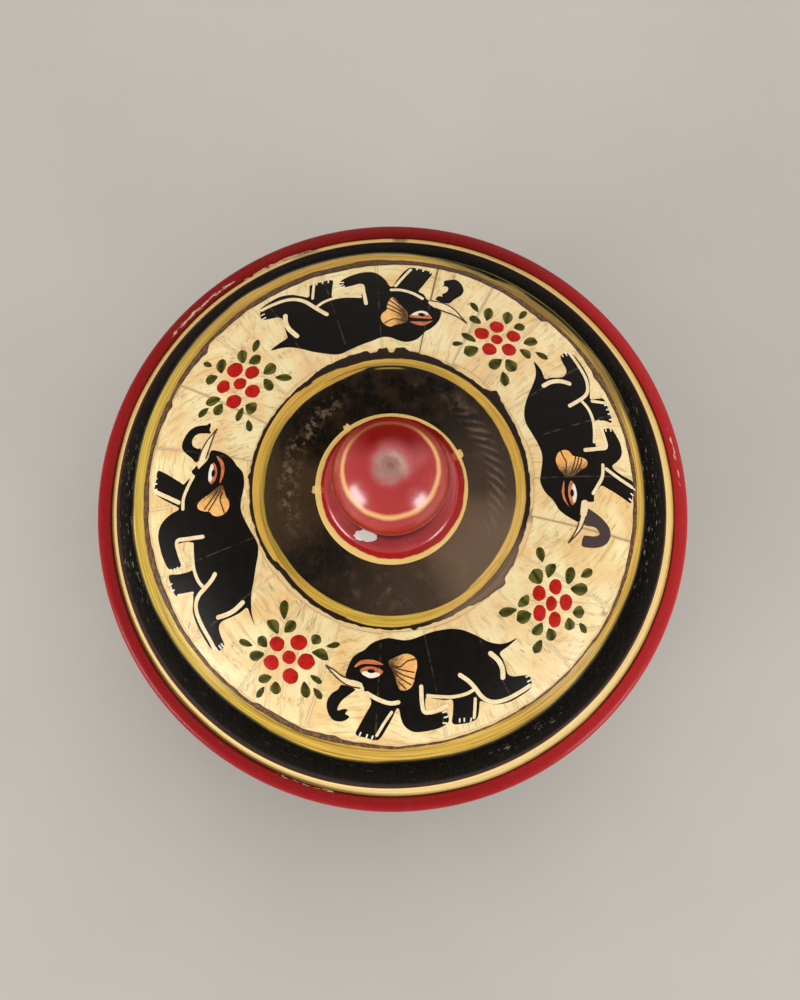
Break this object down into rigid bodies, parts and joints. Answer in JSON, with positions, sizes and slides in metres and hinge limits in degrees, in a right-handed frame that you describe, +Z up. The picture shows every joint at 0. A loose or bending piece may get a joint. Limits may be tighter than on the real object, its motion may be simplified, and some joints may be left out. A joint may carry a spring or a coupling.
{
  "type": "round lidded box",
  "caption": "Round turned wooden box with a lift-off domed lid, inlaid with a ring of bone tiles and topped by a ball knob",
  "frame": {"origin": "centre of the foot, on the surface that the box stands on", "axes": "+Z up along the box's axis; -Y is the side nearest the picture's lower edge, +X its right"},
  "size_m": [0.15, 0.15, 0.1053],
  "materials": {
    "bowl_lacquer": "gloss",
    "lid_lacquer": "gloss",
    "knob_lacquer": "gloss",
    "lac_cement": "satin",
    "bone": "satin"
  },
  "bodies": {
    "bowl": {"body": "bowl_lacquer"},
    "lid_assembly": {"lid": "lid_lacquer", "knob": "knob_lacquer", "tile_bed": "lac_cement", "bone_tile_01": "bone", "bone_tile_02": "bone", "bone_tile_03": "bone", "bone_tile_04": "bone", "bone_tile_05": "bone", "bone_tile_06": "bone", "bone_tile_07": "bone", "bone_tile_08": "bone", "bone_tile_09": "bone", "bone_tile_10": "bone", "bone_tile_11": "bone", "bone_tile_12": "bone", "bone_tile_13": "bone", "bone_tile_14": "bone", "bone_tile_15": "bone", "bone_tile_16": "bone", "bone_tile_17": "bone", "bone_tile_18": "bone", "bone_tile_19": "bone", "bone_tile_20": "bone", "bone_tile_21": "bone", "bone_tile_22": "bone", "bone_tile_23": "bone"}
  },
  "joints": [
    {"name": "lid_lift", "type": "slide", "parent": "bowl", "child": "lid_assembly", "axis": [0, 0, 1], "range_m": [0, 0.06]}
  ]
}
